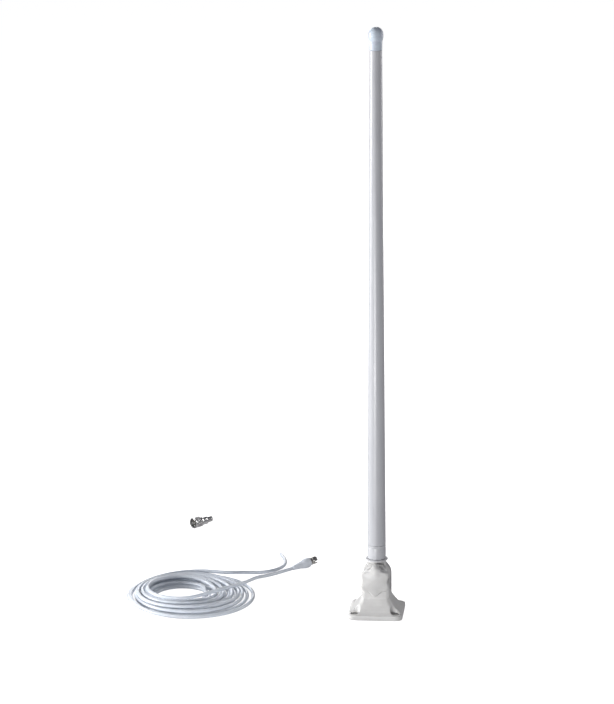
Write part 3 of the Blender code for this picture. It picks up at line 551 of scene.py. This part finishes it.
def cap():
    """Bulb, undercut and neck of the soft vinyl cap."""
    low, high, bulb = measured("top_cap")
    tube_high = measured("radome_tube")[1]
    neck, neck_length, plug, chamfer = 0.0106, 0.0165, 0.0084, 0.0006
    neck_low = tube_high + CLEARANCE
    neck_high = neck_low + neck_length
    dome_low = neck_high + 0.0082
    dome = [(bulb * math.cos(math.radians(a)) ** 0.94,
             dome_low + (high - dome_low) * math.sin(math.radians(a)))
            for a in (12, 26, 40, 54, 68, 80)]
    outline = flowing([
        (neck, neck_low + chamfer), (neck - 0.0001, neck_low + 0.006), (neck, neck_high - 0.0035),
        (neck + 0.0001, neck_high - 0.0016), (neck + 0.0006, neck_high - 0.0004),
        (bulb - 0.0006, neck_high + 0.0016), (bulb - 0.0001, neck_high + 0.0036),
        (bulb, neck_high + 0.0062), *dome, (0.0, high),
    ], 4)
    profile = [(0.0, low), (plug - chamfer, low), (plug, low + chamfer), (plug, neck_low),
               (neck - chamfer, neck_low)]
    profile += [(max(0.0, p.x), min(high, p.y)) for p in outline]
    piece = show("vinyl_cap", turned(profile, 96), smooth_angle=50)
    dress(piece, "cap_vinyl", "whip", "top_cap", slot="cap_vinyl")


# ------------------------------------------------------------------ lead

COIL_TURNS = 15
# Radius, in the coil's own measure, and angle in degrees, where the coil starts and ends
COIL_START = (0.0575, -63.0)
COIL_END = (0.0960, 93.6)
# Sections across the coil in one turn
SECTIONS = 96
STRAND_GAP = CABLE * 1.01
LAYER_RISE = CABLE * 0.93
# Steps of settling, the last of them with a weaker pull
LOOSE_STEPS, LAST_STEPS = 220, 80
LOOSE_PULL, LAST_PULL = 0.02, 0.004
# Shares of the smoothing and of the push apart that one step takes
SMOOTHING = 0.30
PUSH = 0.7
# Points at each end of the coil that don't move
HELD = 5
# Points between two random drifts of the winding, and their usual size
DRIFT_SPAN, DRIFT = 24, 0.0013
# The outer strand that strays on the left: turns, degrees and distance
STRAY_TURNS, STRAY_ARC, STRAY = (13.1, 14.1), (105, 235), 0.014


def coil_point(radius, angle):
    """A place on the deck from a radius in the coil's own measure, where the coil is a round ring."""
    inwards = (COIL_OUTER - radius) / (COIL_OUTER - COIL_INNER)
    x = COIL_CENTRE.x + COIL_INNER_SHIFT.x * inwards + radius * np.cos(angle)
    y = COIL_CENTRE.y + COIL_INNER_SHIFT.y * inwards + radius * COIL_STRETCH * np.sin(angle)
    return x, y


def wanted_coil(count, angle):
    """Radius and height that each point of the winding tends to, before the strands settle.
    A knot is (turn, radius, layer counted from the deck)."""
    turn = np.arange(count) / SECTIONS
    last = turn[-1]
    knots = (
        (0.0, COIL_START[0], 4.0), (0.3, 0.0575, 3.7), (0.9, 0.0590, 3.3), (1.4, 0.0650, 3.0),
        (2.4, 0.0720, 3.0), (3.0, 0.0800, 2.5), (4.0, 0.0930, 2.0), (5.0, 0.0840, 2.0),
        (6.0, 0.0740, 2.0), (7.0, 0.0620, 2.0), (7.6, 0.0510, 1.8), (7.9, 0.0450, 1.4),
        (8.1, 0.0430, 1.0), (8.35, 0.0410, 1.0), (8.65, 0.0480, 1.0), (9.2, 0.0530, 1.0),
        (10.2, 0.0640, 1.0), (11.2, 0.0755, 1.0), (12.2, 0.0880, 1.0),
        (12.8, 0.0965, 1.0), (13.2, 0.1000, 1.0), (13.85, 0.1065, 1.0),
        (last - 0.25, 0.1065, 1.3), (last, COIL_END[0], 2.9),
    )
    at = [k[0] for k in knots]
    radius = np.interp(turn, at, [k[1] for k in knots])
    layer = np.interp(turn, at, [k[2] for k in knots])
    # on the wide right side the layers sink, but not the strands that cross and leave
    sunk = np.where(turn < 0.4, 0.0, 0.7 * (0.5 + 0.5 * np.cos(angle)) ** 4)
    sunk = np.where(turn > last - 0.2, 0.0, sunk)
    return radius, CABLE / 2 + LAYER_RISE * (layer - 1) * (1 - sunk)


def strayed(turn, angle):
    """How far each point lies outside its wanted radius: a random drift, and one loose strand."""
    rng = np.random.default_rng(11)
    marks = np.arange(0, len(turn) + DRIFT_SPAN, DRIFT_SPAN)
    drift = np.interp(np.arange(len(turn)), marks, rng.normal(0, DRIFT, len(marks)))
    phase = np.degrees(angle) % 360
    (first, last), (start, end) = STRAY_TURNS, STRAY_ARC
    loose = (turn > first) & (turn < last) & (phase > start) & (phase < end)
    bulge = STRAY * np.sin(np.radians((phase - start) / (end - start) * 180)) ** 2
    return drift + np.where(loose, bulge, 0.0)


def strand_scale(angle):
    """Metres across the strand, on the deck, for one unit of radius."""
    width = COIL_OUTER - COIL_INNER
    across_x = np.cos(angle) - COIL_INNER_SHIFT.x / width
    across_y = COIL_STRETCH * np.sin(angle) - COIL_INNER_SHIFT.y / width
    along_x = -np.sin(angle)
    along_y = COIL_STRETCH * np.cos(angle)
    return np.abs(across_x * along_y - across_y * along_x) / np.hypot(along_x, along_y)


def pushes(across, height):
    """Sideways and upward moves that part the strands of each section that overlap."""
    count = len(height)
    rows = -(-count // SECTIONS)
    places = np.full((2, rows * SECTIONS), np.nan)
    places[0, :count] = across
    places[1, :count] = height
    places = places.reshape(2, rows, SECTIONS)
    push = np.zeros_like(places)
    for i in range(rows - 1):
        gap = places[:, i + 1:] - places[:, i:i + 1]
        apart = np.hypot(gap[0], gap[1]) + 1e-9
        short = np.where(apart < STRAND_GAP, (STRAND_GAP - apart) / 2, 0.0)
        move = np.nan_to_num(gap / apart * short)
        push[:, i + 1:] += move
        push[:, i] -= move.sum(1)
    return push.reshape(2, -1)[:, :count]


def settled_coil():
    """The winding's points. In each section across the coil the strands push each other apart
    until none lies in another, while they keep smooth along the cable and rest on the deck."""
    swept = 360.0 * COIL_TURNS + COIL_START[1] - COIL_END[1]
    count = int(swept / 360 * SECTIONS) + 1
    angle = np.radians(COIL_START[1] - np.linspace(0, swept, count))
    radius, height = wanted_coil(count, angle)
    aim = radius + strayed(np.arange(count) / SECTIONS, angle)
    scale = strand_scale(angle)
    lowest = CABLE / 2 + 0.0001
    free = np.full(count, True)
    free[:HELD] = False
    free[-HELD:] = False
    s, z = aim.copy(), height.copy()
    for pull in [LOOSE_PULL] * LOOSE_STEPS + [LAST_PULL] * LAST_STEPS:
        s += pull * (aim - s)
        z += pull * (height - z)
        for values in (s, z):
            values[1:-1] += SMOOTHING * ((values[:-2] + values[2:]) / 2 - values[1:-1])
        push = pushes(s * scale, z)
        s = np.where(free, s + PUSH * push[0] / scale, aim)
        z = np.maximum(np.where(free, z + PUSH * push[1], height), lowest)
    x, y = coil_point(s, angle)
    return [Vector(p) for p in zip(x, y, z)]


def lead_route():
    """Boot to bare end: the connector's tail, over the coil, the coil, and the free tail."""
    coil = settled_coil()
    smoothings = 6
    first = [Vector((x, y, under + CABLE / 2)) for x, y, under in reversed(CONNECTOR_TAIL)]
    last = [Vector((x, y, under + CABLE / 2)) for x, y, under in FREE_TAIL]
    first += [Vector(p) for p in CROSSING] + [coil[0]]
    last = [coil[-1]] + [Vector(p) for p in LEAVING] + last
    points = flowing(first, 4)[:-1] + coil + flowing(last, 4)[1:]
    for _ in range(smoothings):
        inner = [points[i] * 0.5 + (points[i - 1] + points[i + 1]) * 0.25
                 for i in range(1, len(points) - 1)]
        points = [points[0]] + inner + [points[-1]]
    return points


def lead(with_pieces):
    """One cable, cut square at its bare end."""
    route = lead_route()
    curve = bpy.data.curves.new("coaxial_lead", "CURVE")
    curve.dimensions = "3D"
    curve.bevel_depth = CABLE / 2
    curve.bevel_resolution = 5
    curve.use_fill_caps = True
    spline = curve.splines.new("POLY")
    spline.points.add(len(route) - 1)
    for knot, point in zip(spline.points, route):
        knot.co = (*point, 1.0)
    spline.use_smooth = True
    cable = bpy.data.objects.new("coaxial_lead", curve)
    bpy.context.scene.collection.objects.link(cable)
    dress(cable, "jacket", "mount", "lead_coil", "lead_tail_connector", "lead_tail_free",
          slot="jacket")


def boot():
    """The moulded boot: a smooth swelling from the cable to a rounded collar."""
    low, high, large = measured("lead_boot", LEAD)
    length = high - low
    small = 0.0041
    connector_body, pocket_depth = 0.0052, 0.012
    hole = connector_body + CLEARANCE
    pocket = high - pocket_depth
    outline = flowing([
        (small, low + 0.0008), (small + 0.0003, low + length * 0.14),
        (small + 0.0012, low + length * 0.28), (large * 0.72, low + length * 0.48),
        (large * 0.93, low + length * 0.66), (large, low + length * 0.80),
        (large * 0.99, low + length * 0.88), (large * 0.93, low + length * 0.95),
        (large * 0.84, high - 0.0002),
    ], 5)
    profile = [(0.0, low), (small - 0.0006, low)] + [(p.x, p.y) for p in outline]
    profile += [(large * 0.78, high), (hole, high), (hole, pocket), (0.0, pocket)]
    piece = show("connector_boot", turned(profile, 72), LEAD, smooth_angle=45)
    return dress(piece, "boot_vinyl", "mount", "lead_boot", slot="boot_vinyl")


def lead_nut():
    """The slotted coupling nut on the lead's connector."""
    low, high, outer = measured("lead_connector_nut", LEAD)
    bore, collar = 0.0053, 0.0047
    inner_floor = low + 0.0030
    groove = outer - 0.0005
    slot_width, slot_depth, past = 0.0022, 0.0075, 0.0005
    piece = show("slotted_nut", turned([
        (collar, low), (outer, low), (outer, low + 0.0034), (groove, low + 0.0038),
        (groove, low + 0.0046), (outer, low + 0.0050), (outer, high), (bore, high),
        (bore, inner_floor), (collar, inner_floor),
    ], 72), LEAD)
    bars = []
    for i in range(2):
        bm = bmesh.new()
        bmesh.ops.create_cube(bm, size=1.0)
        bmesh.ops.scale(bm, vec=(outer * 2.4, slot_width, slot_depth + past), verts=bm.verts)
        middle = high + (past - slot_depth) / 2
        bmesh.ops.translate(bm, vec=(0, 0, middle), verts=bm.verts)
        turn = Matrix.Rotation(math.radians(45 + 90 * i), 4, "Z")
        bar = show(f"slot_bar_{i + 1}", bm, LEAD @ turn)
        step = piece.modifiers.new(bar.name, "BOOLEAN")
        step.object = bar
        bars.append(bar)
    rounded(piece, 0.00015, 2)
    applied(piece)
    piece.data.set_sharp_from_angle(angle=math.radians(35))
    for bar in bars:
        bpy.data.objects.remove(bar)
    return dress(piece, "nickel", "lead_nut", "lead_connector_nut", slot="nickel")


# ------------------------------------------------------------------ plug

def plug_nut():
    """Coupling nut: bright rim, groove, diamond-knurled band and smooth shoulder."""
    low, high, outer = measured("plug_coupling_nut", PLUG)
    bore = outer - 0.0013
    throat = 0.0068
    inner_floor = low + 0.0022
    length = high - low
    band_low, band_high = low + 0.24 * length, low + 0.76 * length
    ridges, columns, rows = 30, 240, 22
    root, crest, shoulder = outer - 0.00095, outer - 0.0002, outer - 0.0003
    fade = 0.0004
    near = 1e-6
    profile = [(throat, low), (outer - 0.0016, low), (outer - 0.0006, low + 0.0006),
               (shoulder, low + 0.0014), (shoulder, band_low - 0.0007),
               (root, band_low - 0.0002)]
    profile += [(root, band_low + (band_high - band_low) * i / rows) for i in range(rows + 1)]
    profile += [(root - 0.0002, band_high + 0.0003), (root - 0.0002, band_high + 0.0011),
                (shoulder, band_high + 0.0016), (outer, band_high + 0.0021),
                (outer, high - 0.0006), (outer - 0.0004, high - 0.0001), (outer - 0.0007, high),
                (bore, high), (bore, inner_floor), (throat, inner_floor)]
    bm = turned(profile, columns)
    for vert in bm.verts:
        radius = vert.co.xy.length
        if abs(radius - root) > near or not band_low - near < vert.co.z < band_high + near:
            continue
        around = math.atan2(vert.co.y, vert.co.x) * ridges / 2
        rise = (vert.co.z - band_low) / outer * ridges / 2
        diamond = abs(math.sin(around + rise)) * abs(math.sin(around - rise))
        edge = min(1.0, (vert.co.z - band_low) / fade, (band_high - vert.co.z) / fade)
        vert.co.xy *= (root + (crest - root) * diamond * max(0.0, edge)) / radius
    piece = show("coupling_nut", bm, PLUG, smooth_angle=35)
    dress(piece, "bright_plate", "plug_nut", "plug_coupling_nut", slot="bright_plate")


# Bore of the plug's body, which the reducer's nose fits
PLUG_BORE = 0.0046


def plug_body():
    """The shell: a grooved rear, a throat for the nut, the flange and the mating sleeve."""
    low, high, flange = measured("plug_body", PLUG)
    nut_low = measured("plug_coupling_nut", PLUG)[0]
    body, throat, mating, cavity = 0.0077, 0.0065, 0.0071, 0.0059
    groove = body - 0.0003
    rear_end = nut_low - CLEARANCE
    flange_low = nut_low + 0.0025
    flange_high = flange_low + 0.002
    web = 0.0005
    shell = show("plug_shell", turned([
        (PLUG_BORE, low), (body, low), (body, low + 0.0012), (groove, low + 0.0016),
        (groove, low + 0.0022), (body, low + 0.0026),
        (body, rear_end), (throat, rear_end), (throat, flange_low),
        (flange, flange_low), (flange, flange_high), (mating, flange_high), (mating, high),
        (cavity, high), (cavity, flange_high - web), (PLUG_BORE, flange_low - web),
    ], 96), PLUG)
    dress(rounded(shell, 0.0002, 2), "bright_plate", "mount", "plug_body", slot="bright_plate")


def plug_reducer():
    """The sleeve behind the body: a grooved grip and a nose inside the body."""
    back, nose_end, outer = measured("plug_reducer", PLUG)
    grip_end = measured("plug_body", PLUG)[0] - CLEARANCE
    nose, cable_bore = PLUG_BORE - CLEARANCE, CABLE / 2 + CLEARANCE
    chamfer, groove = 0.0005, outer - 0.0004
    reducer = show("plug_reducer_sleeve", turned([
        (cable_bore, back), (outer - chamfer, back), (outer, back + chamfer),
        (outer, back + 0.0030), (groove, back + 0.0034), (groove, back + 0.0040),
        (outer, back + 0.0044), (outer, grip_end), (nose, grip_end), (nose, nose_end),
        (cable_bore, nose_end),
    ], 72), PLUG)
    dress(rounded(reducer, 0.00015, 2), "bright_plate", "mount", "plug_reducer", slot="bright_plate")


def plug_contact():
    """The insulating disc with its dished face, and the hollow pin through it."""
    disc_low, disc_high, disc = measured("plug_insulator", PLUG)
    pin_low, pin_high, pin = measured("plug_pin", PLUG)
    hole = pin + CLEARANCE
    dish = disc_high - 0.0006
    insulator = show("plug_insulating_disc", turned([
        (hole, disc_low), (disc, disc_low), (disc, disc_high), (disc - 0.0009, disc_high),
        (disc - 0.0012, dish), (hole + 0.0014, dish),
        (hole + 0.0010, disc_high), (hole, disc_high),
    ], 72), PLUG)
    dress(rounded(insulator, 0.00012, 2), "bakelite", "mount", "plug_insulator", slot="bakelite")
    inner = 0.0012
    tip = show("hollow_pin", turned([
        (inner, pin_low), (pin, pin_low), (pin, pin_high - 0.0016),
        (pin - 0.00025, pin_high - 0.0006), (pin - 0.0006, pin_high), (inner + 0.0001, pin_high),
        (inner, pin_high - 0.0003),
    ], 48), PLUG)
    dress(tip, "nickel", "mount", "plug_pin", slot="nickel")


# ------------------------------------------------------------------ carried-over CAD nodes

def finish_cad_nodes():
    """Every CAD node that is still shown gets its slot's material."""
    for part in frame["record"]["subparts"]:
        node = NODES[part["node"]]
        if node.hide_render:
            continue
        node.data.materials.clear()
        node.data.materials.append(FINISHES[part["material_slot"]])


# ------------------------------------------------------------------ camera, light and floor

def light(name, place, target, size, power):
    """A white rectangle of light at place, facing target."""
    data = bpy.data.lights.new(name, "AREA")
    data.shape = "RECTANGLE"
    data.size, data.size_y = size
    data.energy = power
    lamp = bpy.data.objects.new(name, data)
    bpy.context.scene.collection.objects.link(lamp)
    lamp.location = place
    lamp.rotation_euler = (Vector(target) - Vector(place)).to_track_quat("-Z", "Y").to_euler()


FLOOR_HALF = 60.0
FLOOR_DROP = 0.0004
FLOOR_GLOW = 0.92
# Light from straight below, from the horizon and from straight above
SKY_LOW = (0.42, 0.42, 0.43)
SKY_MIDDLE = (0.14, 0.14, 0.15)
SKY_HIGH = (0.08, 0.08, 0.09)


def floor_white():
    made = bpy.data.materials.new("floor_white")
    made.use_nodes = True
    shader = made.node_tree.nodes["Principled BSDF"]
    shader.inputs["Base Color"].default_value = (0.80, 0.80, 0.80, 1.0)
    shader.inputs["Roughness"].default_value = 0.9
    shader.inputs["Emission Color"].default_value = (1.0, 1.0, 1.0, 1.0)
    shader.inputs["Emission Strength"].default_value = FLOOR_GLOW
    return made


def floor():
    """White to the camera, while the world below lights the pieces from underneath."""
    bm = bmesh.new()
    bmesh.ops.create_grid(bm, x_segments=2, y_segments=2, size=FLOOR_HALF)
    ground = show("floor", bm)
    ground.data.materials.append(floor_white())
    ground.location.z = -FLOOR_DROP
    ground.visible_diffuse = False
    ground.visible_glossy = False


def sky():
    """A dim horizon under a dark ceiling, and a grey glow from below."""
    world = bpy.data.worlds.new("studio")
    bpy.context.scene.world = world
    world.use_nodes = True
    tree = world.node_tree
    where = tree.nodes.new("ShaderNodeTexCoord")
    split = tree.nodes.new("ShaderNodeSeparateXYZ")
    ramp = tree.nodes.new("ShaderNodeValToRGB")
    level = tree.nodes.new("ShaderNodeMapRange")
    level.inputs["From Min"].default_value = -1.0
    tree.links.new(where.outputs["Generated"], split.inputs[0])
    tree.links.new(split.outputs["Z"], level.inputs["Value"])
    tree.links.new(level.outputs["Result"], ramp.inputs["Fac"])
    ends = ramp.color_ramp.elements
    ends[0].position, ends[0].color = 0.20, (*SKY_LOW, 1.0)
    ends[1].position, ends[1].color = 0.80, (*SKY_HIGH, 1.0)
    middle = ends.new(0.52)
    middle.color = (*SKY_MIDDLE, 1.0)
    tree.links.new(ramp.outputs["Color"], tree.nodes["Background"].inputs["Color"])


def camera():
    az, pitch = math.radians(AZIMUTH), math.radians(PITCH)
    back = Vector((math.sin(az) * math.cos(pitch), -math.cos(az) * math.cos(pitch),
                   math.sin(pitch)))
    data = bpy.data.cameras.new("camera")
    data.lens = LENS
    data.clip_end = 100.0
    eye = bpy.data.objects.new("camera", data)
    bpy.context.scene.collection.objects.link(eye)
    eye.location = Vector(AIM) + back * DISTANCE
    facing = (-back).to_track_quat("-Z", "Y")
    roll = Matrix.Rotation(math.radians(ROLL), 4, "Z").to_quaternion()
    eye.rotation_mode = "QUATERNION"
    eye.rotation_quaternion = facing @ roll
    bpy.context.scene.camera = eye


def lights():
    """Key from the left, low and near fills, one for the cap, and two from behind."""
    light("key", (-3.05, -0.1, 0.80), (0.0, 0.0, 0.50), (0.9, 1.5), 106.0)
    light("front", (-0.35, -1.5, 0.07), (-0.05, 0.0, 0.05), (0.50, 0.12), 12.0)
    light("near", (-0.45, -0.62, 0.55), (-0.30, 0.06, 0.0), (0.40, 0.40), 0.9)
    light("crown", (-0.25, -0.40, 1.42), (0.0, 0.0, 0.98), (0.30, 0.30), 0.9)
    light("rim", (2.1, 1.5, 0.9), (0.0, 0.0, 0.50), (0.5, 1.6), 22.0)
    light("back", (-0.8, 3.4, 1.4), (-0.1, 0.0, 0.35), (1.6, 1.2), 34.0)


# ------------------------------------------------------------------ all of it

FINISHES = make_finishes()
camera()
mount()
head()
knob()
clamp_bolt()
washer()
seal()
ferrule()
tube()
cap()
lead([boot(), lead_nut(), "lead_connector_body", "lead_connector_insulator",
      "lead_connector_socket"])
plug_nut()
plug_body()
plug_reducer()
plug_contact()
finish_cad_nodes()
floor()
sky()
lights()
bpy.context.scene.view_settings.view_transform = "Standard"
